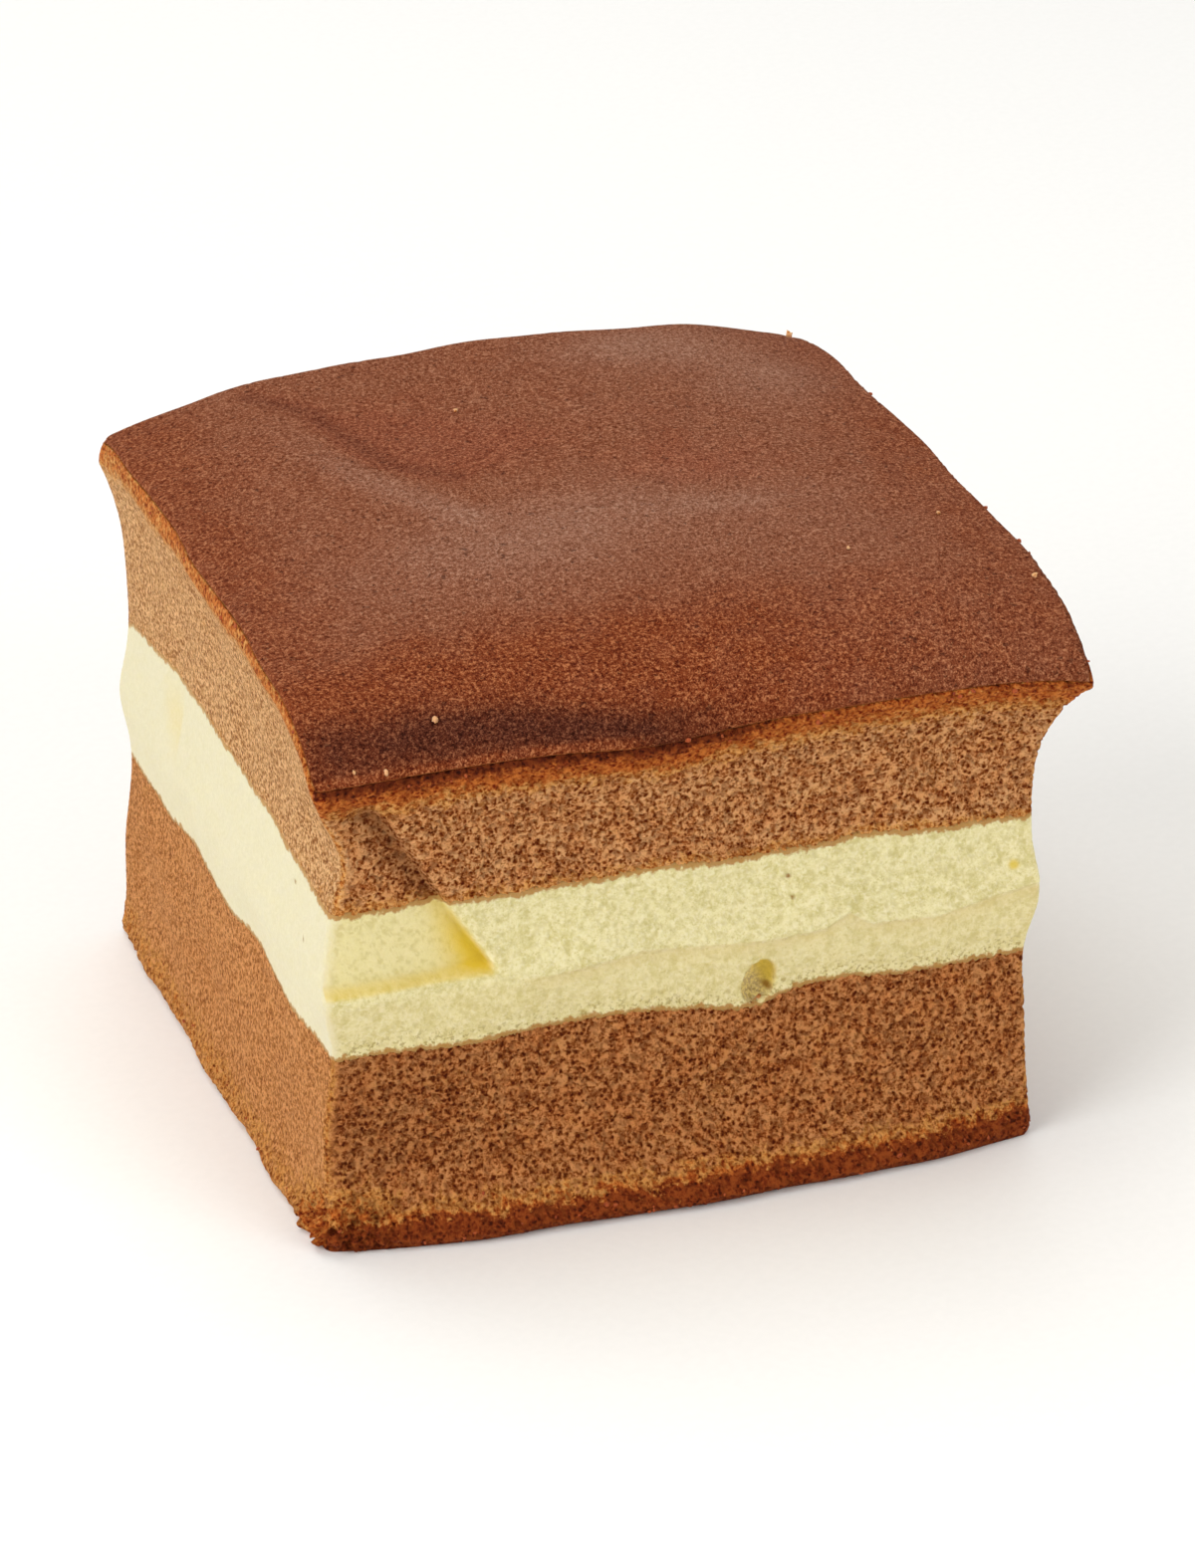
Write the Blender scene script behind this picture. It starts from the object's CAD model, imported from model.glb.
"""A square piece of layered chiffon cake: cocoa sponge, vanilla sponge, cocoa sponge and a browned top."""

import functools
import math
import random
from collections import namedtuple
from types import SimpleNamespace as Values

import bmesh
import bpy
from bpy.props import FloatProperty, FloatVectorProperty, IntProperty, PointerProperty
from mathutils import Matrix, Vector, noise
from mathutils.geometry import intersect_point_line


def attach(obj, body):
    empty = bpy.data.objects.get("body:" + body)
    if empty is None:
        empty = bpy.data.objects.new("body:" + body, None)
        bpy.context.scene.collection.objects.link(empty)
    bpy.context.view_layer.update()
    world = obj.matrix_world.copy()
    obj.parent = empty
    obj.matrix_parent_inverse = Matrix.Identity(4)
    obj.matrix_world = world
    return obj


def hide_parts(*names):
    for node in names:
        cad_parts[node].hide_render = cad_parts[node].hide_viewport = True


bl_info = {
    "name": "Layered Chiffon Cake",
    "version": (1, 0, 0),
    "blender": (4, 5, 0),
    "location": "View3D > Sidebar > Cake",
    "description": "Builds a square piece of layered chiffon cake and a small studio round it",
    "category": "Add Mesh",
}

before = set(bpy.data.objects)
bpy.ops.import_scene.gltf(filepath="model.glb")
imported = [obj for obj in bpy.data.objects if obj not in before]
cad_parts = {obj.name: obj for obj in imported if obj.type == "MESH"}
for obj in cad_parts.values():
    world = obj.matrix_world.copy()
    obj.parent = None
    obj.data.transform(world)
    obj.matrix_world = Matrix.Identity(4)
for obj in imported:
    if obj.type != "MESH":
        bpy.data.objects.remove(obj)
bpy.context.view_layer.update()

MM = 0.001
noise.seed_set(11)  # without a seed, noise_vector gives other values on each run

# ---- The form, in millimetres ----
# u runs from the left side (-1) to the right (1), v from the front (-1) to the back (1), and s
# along one side from -1 to 1. The form's own origin is the middle of the cut square.

HALF = 37.5  # half the cut square's side
CROWN = 64.5
LOWER_SEAM = 21.6
UPPER_SEAM = 37.6
FORM_SHIFT = Vector((-0.879, 0.141, 0))  # puts the middle of the overhanging outline at the frame's origin

Zone = namedtuple("Zone", "x y rx ry share")  # a soft oval on the top
Speck = namedtuple("Speck", "side along z size share mark")
Nick = namedtuple("Nick", "side along width depth")
Fallen = namedtuple("Fallen", "x y size")
Lamp = namedtuple("Lamp", "name place size power")


def arch(rise, power=2, lean=0):
    """A line over a side that rises between its corners, and may lean towards one end."""
    return Values(rise=rise, power=power, lean=lean)


CORNERS = {
    "front_left": Values(sides=("front", "left"), dome=57.3, lip=2.2, edge=1.5, curl=3.7, round=0.9),
    "front_right": Values(sides=("front", "right"), dome=58.9, lip=4.5, edge=1, curl=4.9, round=0.6),
    "back_left": Values(sides=("back", "left"), dome=58.7, lip=2.1, edge=3, curl=0, round=0.9),
    "back_right": Values(sides=("back", "right"), dome=58.8, lip=3.8, edge=2, curl=0, round=2.2),
}
PLACES = {  # the axis that a side faces along, its place on that axis, and its corners
    "front": Values(axis=1, sign=-1, ends=("front_left", "front_right")),
    "back": Values(axis=1, sign=1, ends=("back_left", "back_right")),
    "left": Values(axis=0, sign=-1, ends=("front_left", "back_left")),
    "right": Values(axis=0, sign=1, ends=("front_right", "back_right")),
}
RIMS = {"front": arch(0.9, 6, 0.9), "back": arch(5, 2.6), "left": arch(2.2, 4), "right": arch(2.6, 4)}
LOWER_ARCHES = {"front": arch(0.2), "back": arch(0.6), "left": arch(0.7), "right": arch(0.4)}
UPPER_ARCHES = {"front": arch(0.3), "back": arch(1.6), "left": arch(2.9, lean=0.45), "right": arch(2)}
FEET = {"front": arch(3.8, 3), "back": arch(0.6, 3), "left": arch(0.4, 3), "right": arch(0.4, 3)}
FOOT_REACH = {"front": 0.5, "back": 0.4, "left": 1.7, "right": 1.2}
BELLY = {"front": 0, "back": 0.3, "left": 0.9, "right": 0, "height": 12, "spread": 8}

DOME_SHARPNESS = 3.2
CURL_SHARPNESS = 20
SPREAD_SHARPNESS = 2.2
RIM_SAG = Values(depth=1, x=-4, spread=8)
LIP = Values(roll=0.5, fade=4.6)
FOOT = Values(tuck_height=1.4, tuck_share=0.3, height=10)
BULGE = Values(out=0.9, height=28.5, spread=4.5)
WAIST = Values(pinch=1.7, height=43, spread=5, sharpness=4)
HOLLOW = Values(depth=1.1, sill_x=-19.8, sill_z=29.3, head_x=-33.5, head_z=51.5, edge=0.9)
DEEPER = Values(depth=0.7, spread=3.4)  # beside the hollow's right wall
LEDGE = Values(depth=0.36, edge=0.7, fade=4.5, start=-20.5, full=-10)
LEDGE_LINE = (  # its edge along the front, as (x, z)
    ((-20.5, 29.2), (-15, 28.4), (-10.5, 28.8), (-5, 29.4), (1.5, 28.8), (10, 28.3))
    + ((15, 28.8), (17.4, 30.2), (20, 28.3), (27, 28), (37.5, 30))
)
BUBBLE = Values(x=7.9, z=23.2, half_width=1.8, half_height=2.6, depth=1.8, tilt=math.radians(18))
BUBBLE_DIP = Values(x=6.9, depth=1.5, spread=4.2, sharpness=8)
TOP_SWELLS = (
    Zone(-8, 22, 9, 11, -0.9),
    Zone(-4, -10, 18, 10, 0.4),
    Zone(27, 33, 8, 4, 0.4),
)
UNEVEN = Values(wall=0.35, seam=0.5, top=0.2, crumbs=0.26)


def mix(start, end, share):
    """The value that lies this share of the way from start to end."""
    return start + (end - start) * share


def smooth(value, start, end):
    """0 before start, 1 past end and an even S between them."""
    share = min(max((value - start) / (end - start), 0), 1)
    return share * share * (3 - 2 * share)


def fade(value, start, end):
    """1 before start, 0 past end and an even S between them."""
    return 1 - smooth(value, start, end)


def bell(value, middle, spread):
    """A soft hump of height 1."""
    return math.exp(-(((value - middle) / spread) ** 2))


def waves(a, b):
    """A smooth unevenness between about -1 and 1, from two lengths in millimetres."""
    broad = math.sin(0.24 * a + 1.1) * math.cos(0.29 * b + 0.4)
    short = math.sin(0.41 * a - 0.17 * b + 4.2) * math.cos(0.12 * a + 0.38 * b + 1.9)
    return (broad + 0.7 * short) / 1.7


def patchy(point, size):
    """Soft patches between about -1 and 1, this many millimetres across."""
    return noise.fractal(point / size + Vector((3.7, 9.2, 5.1)), 1, 2, 3)


def zone_sum(zones, x, y):
    """What soft ovals add up to at a point."""
    return sum(zone.share * bell(x, zone.x, zone.rx) * bell(y, zone.y, zone.ry) for zone in zones)


def low_end(w, sharpness):
    """1 at -1 and 0 at 1, falling off faster the sharper it is."""
    return ((1 - w) / 2) ** sharpness


@functools.cache
def nearness(u, v, sharpness):
    """How near a point is to each side: 1 on it, 0 on the opposite one."""
    return {
        name: low_end(side.sign * -(v if side.axis == 1 else u), sharpness) for name, side in PLACES.items()
    }


def along_side(name, u, v):
    """A point's place along a side."""
    return u if PLACES[name].axis == 1 else v


def span_square(u, v, sharpness, middle, on_side, at_corner):
    """A height over the square that meets the given ones along the sides and at the corners."""
    near = nearness(u, v, sharpness)
    height = middle
    for name in PLACES:
        height += near[name] * (on_side(name, along_side(name, u, v)) - middle)
    for corner in CORNERS.values():
        first, second = corner.sides
        height -= near[first] * near[second] * (at_corner(corner) - middle)
    return height


def between_corners(name, s, key):
    """A corner value blended along a side."""
    start, end = (getattr(CORNERS[corner], key) for corner in PLACES[name].ends)
    return mix(start, end, (s + 1) / 2)


def arch_height(line, s):
    return line.rise * (1 - abs(s) ** line.power) * (1 + line.lean * s)


def rim_height(name, s):
    return between_corners(name, s, "dome") + arch_height(RIMS[name], s)


@functools.cache
def top_height(u, v):
    """The domed top, with its soft dimples and its curl along the front."""
    x, y = HALF * u, HALF * v
    height = span_square(u, v, DOME_SHARPNESS, CROWN, rim_height, lambda corner: corner.dome)
    curl = between_corners("front", u, "curl") + RIM_SAG.depth * bell(x, RIM_SAG.x, RIM_SAG.spread)
    height += zone_sum(TOP_SWELLS, x, y) - curl * low_end(v, CURL_SHARPNESS)
    return height + UNEVEN.top * waves(x, y)


def seam_crumbs(x, y):
    """The small ups and downs of a seam where single crumbs end."""
    return UNEVEN.crumbs * noise.fractal(Vector((x, y, 0)) * 1.5, 0.6, 2.2, 3)


def arched_seam(u, v, middle, arches):
    """A seam that lies level inside and arches a little at each side."""
    return span_square(
        u, v, 2, middle, lambda name, s: middle + arch_height(arches[name], s), lambda corner: middle
    )


@functools.cache
def lower_seam_height(u, v):
    x, y = HALF * u, HALF * v
    dip = BUBBLE_DIP.depth * bell(x, BUBBLE_DIP.x, BUBBLE_DIP.spread) * low_end(v, BUBBLE_DIP.sharpness)
    height = arched_seam(u, v, LOWER_SEAM, LOWER_ARCHES)
    return height - dip + UNEVEN.seam * waves(x, y) + seam_crumbs(x, y)


@functools.cache
def upper_seam_height(u, v):
    x, y = HALF * u, HALF * v
    height = arched_seam(u, v, UPPER_SEAM, UPPER_ARCHES)
    return height + UNEVEN.seam * waves(y + 9, x) + seam_crumbs(y, x)


def foot_shape(z):
    """The spread foot's reach at a height, as a share of its full reach."""
    over = z - FOOT.tuck_height
    if over < 0:
        return 1 - FOOT.tuck_share * (over / FOOT.tuck_height) ** 2
    return max(1 - over / FOOT.height, 0) ** 2


def lip_reach(name, s, below):
    """How far the top spreads over a side, at a depth below the top."""
    full = between_corners(name, s, "lip")
    edge = between_corners(name, s, "edge")
    if below < edge:
        return full - LIP.roll * (1 - below / edge) ** 2
    return full * math.exp(-(below - edge) / LIP.fade)


def reach(name, s, z, below):
    """How far a side stands out from the cut square."""
    foot = (FOOT_REACH[name] + arch_height(FEET[name], s)) * foot_shape(z)
    swell = BULGE.out * bell(z, BULGE.height, BULGE.spread)
    swell += BELLY[name] * bell(z, BELLY["height"], BELLY["spread"])
    return foot + swell + lip_reach(name, s, below) + UNEVEN.wall * waves(HALF * s, z)


@functools.cache
def round_corner(u, v):
    """Rounds the square's corners."""
    name = ("front" if v < 0 else "back") + ("_left" if u < 0 else "_right")
    radius = CORNERS[name].round / HALF
    past_u = max(abs(u) - 1 + radius, 0)
    past_v = max(abs(v) - 1 + radius, 0)
    if past_u == 0 or past_v == 0:
        return u, v
    pull = 1 - max(past_u, past_v) / math.hypot(past_u, past_v)
    return u - math.copysign(past_u * pull, u), v - math.copysign(past_v * pull, v)


def hollow_climb(z):
    """A height as a share of the way from the hollow's sill to its head."""
    return (z - HOLLOW.sill_z) / (HOLLOW.head_z - HOLLOW.sill_z)


def hollow_wall(x, z):
    """How far a point on the front is to the left of the hollow's slanting right wall."""
    return mix(HOLLOW.sill_x, HOLLOW.head_x, hollow_climb(z)) - x


def hollow_share(x, z):
    """1 inside the slanting hollow by the front left edge, 0 outside it."""
    inside = smooth(hollow_wall(x, z), 0, HOLLOW.edge) * smooth(z - HOLLOW.sill_z, 0, HOLLOW.edge)
    return inside * fade(hollow_climb(z), 0.85, 1)


def hollow_depth(x, z):
    """The hollow sinks from the corner towards its right wall, where it is deepest."""
    deeper = DEEPER.depth * bell(hollow_wall(x, z), HOLLOW.edge, DEEPER.spread)
    return (HOLLOW.depth + deeper) * hollow_share(x, z)


@functools.cache
def ledge_height(x):
    """The height of the ledge's edge over a place along the front."""
    for (start, low), (end, high) in zip(LEDGE_LINE, LEDGE_LINE[1:]):
        if x < end:
            return mix(low, high, max(x - start, 0) / (end - start))
    return LEDGE_LINE[-1][1]


def below_ledge(x, z):
    return ledge_height(round(x, 1)) - z


def ledge_depth(x, z):
    """The low step along the front, cut back under its edge and fading out below."""
    below = below_ledge(x, z)
    step = LEDGE.depth * smooth(below, 0, LEDGE.edge) * max(1 - below / LEDGE.fade, 0)
    return step * smooth(x, LEDGE.start, LEDGE.full)


def place(u, v, z):
    """A point of the cake, from its place in the square and its height."""
    below = max(top_height(u, v) - z, 0)
    near = nearness(u, v, SPREAD_SHARPNESS)
    ru, rv = round_corner(u, v)
    pinch = WAIST.pinch * bell(z, WAIST.height, WAIST.spread) * low_end(v, WAIST.sharpness)
    x = HALF * ru + near["right"] * reach("right", v, z, below)
    x -= near["left"] * (reach("left", v, z, below) - pinch)
    y = HALF * rv + near["back"] * reach("back", u, z, below)
    y -= near["front"] * reach("front", u, z, below)
    y += near["front"] * (hollow_depth(x, z) + ledge_depth(x, z))
    return Vector((x, y, z))


# ---- The crumb, in millimetres ----

SEAM_LAP = 0.55  # how far a sponge goes on behind its neighbour
SEAM_TUCK = 0.6  # how far it has drawn in by then
COLUMN_WIDTHS = {"front": 1, "right": 1.3, "back": 1.75, "left": 1.6}  # in steps
COARSE_BLEND = 1.5  # width of the change from torn to fine crumb at an upright edge
END_RINGS = (0.96, 0.8)
CRUMBLE = Values(foot=0.2, corner=1.1)  # height of the lumps above the foot
CAP_SINK = 4  # how far the sponge under the skin drops away inside, where the skin covers it
ON_WALL = 0.999  # points past this share of the half side are on a wall

SPONGES = {
    "base": Values(step=0.235, pit=0.24, lump=0.08, fine=0.035, cell=0.6),
    "middle": Values(step=0.2, pit=0.045, lump=0.025, fine=0.02, cell=0.62),
    "top": Values(step=0.225, pit=0.24, lump=0.08, fine=0.035, cell=0.6),
}
COCOA_MARKS = ("pit", "coarse", "toast", "crust", "shade")
MIDDLE_MARKS = ("pit", "coarse", "gold", "beige", "bubble", "speck", "dusting", "stipple", "even")


def coarse_share(u, v):
    """1 where the crumb is torn open, on the front and the right, 0 where it is cut fine."""
    if v < -ON_WALL:
        return smooth((u + 1) * HALF, 0, COARSE_BLEND)
    if u > ON_WALL:
        return smooth((1 - v) * HALF, 0, COARSE_BLEND)
    return 0


def open_pit(point, cell):
    """How far inside an opened bubble of the crumb a point is, 0 on the walls between them."""
    bent = point + noise.noise_vector(point * 1.1) * 0.4
    distances, centres = noise.voronoi(bent / cell)
    opened = smooth(noise.cell(centres[0] * 5.7), -0.6, 0.6)
    bubble = smooth(distances[1] - distances[0], 0.02, 0.34) * opened
    torn = 0.5 - 0.9 * noise.fractal(bent * 1.6, 0.8, 2.1, 3)
    return smooth(0.55 * bubble + 0.6 * torn, 0.32, 0.95)


def crumb_relief(point, coarse, sponge):
    """(height out of the wall, pit) of the crumb at a point."""
    fine = sponge.fine * noise.fractal(point * 2.1, 1, 2, 3)
    if coarse == 0:
        return fine, 0
    pit = coarse * open_pit(point, sponge.cell)
    lumps = sponge.lump * noise.fractal(point * 1.5, 1, 2, 3)
    deep = sponge.pit * bpy.context.scene.cake_sizes.crumb_depth
    return mix(fine, lumps, coarse) - deep * pit, pit


def level(edge):
    return abs(edge.verts[0].co.z - edge.verts[1].co.z) < 0.5


def on_side(edge, side):
    side = PLACES[side]
    return all(abs(vert.co[side.axis] - side.sign) < 0.001 for vert in edge.verts)


def only(kind, items):
    return [item for item in items if isinstance(item, kind) and item.is_valid]


def grow_ring(bm, ring):
    """Extrudes a ring of edges. Gives the new points, and what was made."""
    made = bmesh.ops.extrude_edge_only(bm, edges=ring)["geom"]
    return only(bmesh.types.BMVert, made), made


def marked_mesh(marks):
    """An empty bmesh whose points can carry these marks."""
    bm = bmesh.new()
    for mark in marks:
        bm.verts.layers.float.new(mark)
    return bm


def sponge_block(name, height, marks):
    """A closed square block from -1 to 1 each way, its walls cut into small cells."""
    step = SPONGES[name].step
    bm = marked_mesh(marks)
    bmesh.ops.create_cube(bm, size=2)
    ends = [face for face in bm.faces if abs(face.normal.z) > 0.5]
    bmesh.ops.delete(bm, geom=ends, context="FACES_ONLY")
    for side, width in COLUMN_WIDTHS.items():
        columns = round(2 * HALF / (step * width))
        rails = [edge for edge in bm.edges if level(edge) and on_side(edge, side)]
        bmesh.ops.subdivide_edges(bm, edges=rails, cuts=columns - 1)
    uprights = [edge for edge in bm.edges if not level(edge)]
    bmesh.ops.subdivide_edges(bm, edges=uprights, cuts=round(height / step) - 1)
    for end in (-1, 1):
        close_end(bm, end)
    return bm


def close_end(bm, end):
    """Closes one open end of a block with rings that shrink to its middle."""
    ring = [edge for edge in bm.edges if edge.is_boundary and edge.verts[0].co.z * end > 0]
    past = 1
    for share in END_RINGS:
        verts, made = grow_ring(bm, ring)
        bmesh.ops.scale(bm, vec=(share / past, share / past, 1), verts=verts)
        ring = only(bmesh.types.BMEdge, made)
        past = share
    bmesh.ops.pointmerge(bm, verts=grow_ring(bm, ring)[0], merge_co=(0, 0, end))


def sponge_tuck(z, bottom, top):
    """How far a wall draws in behind its neighbours, past its seams."""
    over = 0 if top is None else smooth(z, top, top + SEAM_LAP)
    under = 0 if bottom is None else smooth(bottom - z, 0, SEAM_LAP)
    return SEAM_TUCK * max(over, under)


def draw_in(point, amount):
    """The point moved this far towards the middle of the square."""
    point.x -= math.copysign(min(amount, abs(point.x)), point.x)
    point.y -= math.copysign(min(amount, abs(point.y)), point.y)
    return point


def from_corner(u, v):
    """How far a point is from the front left corner."""
    return HALF * math.hypot(u + 1, v + 1)


def crumbly_foot(u, v, point):
    """How far lumps stand out above the foot, most of all by the front left corner."""
    corner = fade(from_corner(u, v), 2, 11)
    low = fade(point.z, 2, 5 + 4 * corner)
    return low * (CRUMBLE.foot + CRUMBLE.corner * corner) * noise.fractal(point, 0.7, 2.1, 4)


def shape_sponge(bm, name, bottom_seam, top_seam, marks_at):
    """Moves a block's points to their place in the cake, then roughens its walls.

    A seam is a function of u and v, or None where the block has an end of its own."""
    sponge = SPONGES[name]
    layers = bm.verts.layers.float
    squares = {}
    for vert in bm.verts:
        u, v, climb = vert.co
        bottom = bottom_seam and bottom_seam(u, v)
        top = top_seam and top_seam(u, v)
        low = bottom - SEAM_LAP if bottom else 0
        high = top + SEAM_LAP if top else top_height(u, v) - SKIN.cover
        z = mix(low, high, (climb + 1) / 2)
        if not top:
            z -= CAP_SINK * smooth(1 - max(abs(u), abs(v)), 0, 0.1)
        squares[vert] = (u, v, z)
        vert.co = draw_in(place(u, v, z), sponge_tuck(z, bottom, top))
    bm.normal_update()
    for vert, (u, v, z) in squares.items():
        if max(abs(u), abs(v)) < ON_WALL:
            continue
        point = vert.co.copy()
        coarse = coarse_share(u, v)
        height, pit = crumb_relief(point, coarse, sponge)
        if not bottom_seam:
            lumps = crumbly_foot(u, v, point)
            height = (height + lumps) * smooth(z, 0, 0.6)
            pit = max(pit, 0.6 * smooth(-lumps, 0.25, 0.6))
        marks = {"pit": pit, "coarse": coarse, **marks_at(u, v, point)}
        sink = marks.pop("sink", 0)
        for mark, value in marks.items():
            vert[layers[mark]] = value
        vert.co += vert.normal * height
        vert.co.y += sink
        vert.co.z = max(vert.co.z, 0)


def side_of(u, v):
    """The name of the side that a wall point is on."""
    if v < -ON_WALL:
        return "front"
    if v > ON_WALL:
        return "back"
    return "left" if u < 0 else "right"


def edge_toast(u, v):
    """The thin toast on the upright edges between two sides."""
    return 0.45 * fade(HALF * (1 - min(abs(u), abs(v))), 0, 0.8)


CRUST = {"front": 1, "right": 0.9, "back": 0.5, "left": 0.15}
TOAST_DEPTH = {"front": 4.2, "right": 3.8, "back": 2.2, "left": 3.6}  # of the toasted band under the skin
TOAST_PEAK = {"front": 1, "right": 1, "back": 0.8, "left": 0.6}
OVER_SEAM = {"front": 0.34, "right": 0.3, "back": 0.2, "left": 0.12}


def hollow_shade(x, z):
    """1 at the foot of the hollow's right wall, fading out upwards and, softly, to the left."""
    wedge = mix(3.3, 1.8, smooth(z, HOLLOW.sill_z, UPPER_SEAM))
    low = mix(1, 0.4, smooth(z, HOLLOW.sill_z + 2, UPPER_SEAM))
    return bell(hollow_wall(x, z), 0.8, wedge) * low * hollow_share(x, z)


def brown_shade(x, z):
    """1 beside the hollow's right wall in the upper sponge, where little light gets in."""
    return bell(hollow_wall(x, z), 1.6, 1.8) * hollow_share(x, z)


def base_marks(u, v, point):
    """Where the lower sponge is browned: a dark foot with toasted crumbs above it."""
    x, y, z = point
    side = side_of(u, v)
    ragged = 0.6 * patchy(point, 2.2) + 0.7 * patchy(point, 0.7)
    patches = patchy(point, 1.1)
    crust = fade(z + 0.9 * ragged, 2.1, 3.9) * CRUST[side]
    toast = fade(z + 1.3 * ragged, 2.2, 5.6) * (0.8 + 0.4 * patches)
    if side == "left":
        toast *= mix(0.45, 1.1, fade(y + HALF, 1, 9))
    corner = fade(from_corner(u, v), 2, 10) * fade(z, 4, 10) * (0.65 + 0.3 * patches)
    toast = max(toast, corner, edge_toast(u, v))
    shade = 0.22 * fade(x + HALF, 4, 26) * smooth(z, 5, 11) if side == "front" else 0
    return {"crust": crust, "toast": min(max(toast, 0), 1), "shade": shade}


def top_marks(u, v, point):
    """Where the upper sponge is browned: in a band under the skin, and thinly over the seam."""
    x, _, z = point
    below = top_height(u, v) - z
    ragged = patchy(point, 1.8)
    side = side_of(u, v)
    deep = TOAST_DEPTH[side]
    crust = 0 if side == "left" else 0.8 * fade(below + 0.8 * ragged, 0.2 * deep, 0.65 * deep)
    toast = TOAST_PEAK[side] * fade(below + 0.9 * ragged, 0.35 * deep, 1.4 * deep)
    shade = 0
    if side == "front":
        crust *= 1 - 0.7 * smooth(x, 0, 12)
        toast *= 1 - 0.25 * smooth(x, 0, 14)
        crease = fade(below + 0.5 * patchy(point, 0.9), 0.85, 1.35) * (1 - 0.85 * smooth(x, 2, 14))
        shade = max(0.65 * brown_shade(x, z), 0.85 * crease)
    over_seam = OVER_SEAM[side] * fade(z - upper_seam_height(u, v) + 0.4 * ragged, 0.2, 1.7)
    return {"crust": crust, "toast": max(toast, over_seam, edge_toast(u, v)), "shade": shade}


SPECKS = (
    Speck("front", 10.95, 34.8, 0.36, 1, "speck"),
    Speck("front", 11.3, 32.5, 0.28, 0.9, "speck"),
    Speck("front", 35.5, 32.2, 0.8, 0.8, "gold"),
    Speck("front", 9.1, 22.2, 0.6, 0.8, "speck"),
    Speck("left", -25.2, 36.2, 0.34, 0.8, "speck"),
    Speck("left", -29.8, 32, 0.34, 0.8, "speck"),
)
LEFT_PATCH = Values(y=15, length=9, z=35, spread=3.2, share=0.22)  # a faint yellow step


def bubble_radius(x, z):
    """0 in the middle of the air bubble and 1 on its edge."""
    dx, dz = x - BUBBLE.x, z - BUBBLE.z
    sine, cosine = math.sin(BUBBLE.tilt), math.cos(BUBBLE.tilt)
    across = (dx * cosine - dz * sine) / BUBBLE.half_width
    return math.hypot(across, (dx * sine + dz * cosine) / BUBBLE.half_height)


def middle_marks(u, v, point):
    """The air bubble, and where the middle sponge is yellower or holds a brown speck."""
    x, y, z = point
    side = side_of(u, v)
    low = z - lower_seam_height(u, v)
    near_seam = min(low, upper_seam_height(u, v) - z)
    marks = {"speck": 0, "gold": 0}
    marks["dusting"] = fade(near_seam + 0.3 * patchy(point, 0.9), 0, 1)
    marks["stipple"] = coarse_share(u, v) * fade(low + 0.6 * patchy(point, 1.5), 0, 3.6)
    for speck in SPECKS:
        if speck.side == side:
            away = math.hypot((x if side == "front" else y) - speck.along, z - speck.z)
            share = speck.share * fade(away, 0.3 * speck.size, speck.size)
            marks[speck.mark] = max(marks[speck.mark], share)
    if side == "left":
        past = y - LEFT_PATCH.y
        patch = smooth(past, 0, 0.6) * fade(past, 3, LEFT_PATCH.length)
        marks["gold"] = LEFT_PATCH.share * patch * bell(z, LEFT_PATCH.z, LEFT_PATCH.spread)
    if side == "back":
        marks["coarse"] = 0.6
    if side != "front":
        return marks
    hollow = hollow_share(x, z)
    sill = hollow_share(x, z + 0.6) * bell(z, HOLLOW.sill_z + 0.2, 0.7)
    below = below_ledge(x, z)
    under_ledge = smooth(ledge_depth(x, z), 0, 0.4 * LEDGE.depth) * bell(below, 0.7, 0.9)
    radius = bubble_radius(x, z)
    marks["even"] = hollow
    marks["gold"] += min(0.12 * hollow + 0.5 * sill + 0.95 * hollow_shade(x, z), 1)
    marks["beige"] = 0.42 * under_ledge + 0.25 * smooth(below, 0, 2)
    marks["bubble"] = fade(radius, 0.85, 1.1)
    if radius < 1.2:
        upward = (x - BUBBLE.x) + 0.5 * (z - BUBBLE.z)
        marks["gold"] = 0.75 * marks["bubble"] * smooth(upward, -0.4, 1.4)
    if radius < 1:
        marks["sink"] = BUBBLE.depth * math.sqrt(1 - radius * radius)
    return marks


# ---- The browned skin, in millimetres ----

SKIN = Values(
    cover=0.55,  # how far below the top the sponge under the skin ends
    step=0.34,
    crowding=0.28,  # how much closer the points are at the rim
    round=0.34,  # radius of the rim's edge
    proud=0.14,  # how far the edge stands out from the crumb
    hem=0.4,  # how far down the edge hangs
    ragged=0.16,
    inside=1.3,
    lift=0.45,  # how much higher the rim stands at the front
)
SKIN_MARKS = ("dark", "rim", "red", "pale", "hem")
HEM_RINGS = 4  # rings round the skin that show; two more close it inside
NICKS = (Nick("front", 25.9, 0.8, 0.6), Nick("front", 37.7, 0.7, 0.5), Nick("left", -11.1, 0.7, 0.6))
ROLL_OFF = Values(far=2.5, near=0.4, wide=1.8, slim=0.8, start=-44, end=10)  # the dark band in front
RIDGE = Values(
    line=((-26, 37), (-23.4, 27), (-20.8, 16.5), (-16.5, 6), (-11.5, -2)), width=2.2, rise=0.13
)
FURROW = Values(
    line=((-23.5, 36), (-19, 29.5), (-17, 21), (-14.6, 12.5), (-9.5, 7.5)), width=1.8, rise=-0.22
)
RED_ZONES = (
    Zone(-12, 21, 6, 8, 0.8),
    Zone(-6.5, 14.5, 8.5, 7, 1.1),
    Zone(14.5, 1.5, 9, 6, 0.9),
    Zone(20, 16, 12, 10, 0.35),
)
PALE_ZONES = (
    Zone(-8, -10, 15, 8, 0.85),
    Zone(3, -4, 9, 5, 0.4),
    Zone(14, -7.5, 8, 2.6, 0.5),
    Zone(20, 33, 9, 5, 1),
    Zone(31, 23, 7, 8, 0.7),
    Zone(19, -12, 12, 8, 0.15),
)


def crowd(share):
    """Moves points between -1 and 1 closer to both ends."""
    return share * (1 + SKIN.crowding) - SKIN.crowding * share**3


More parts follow.
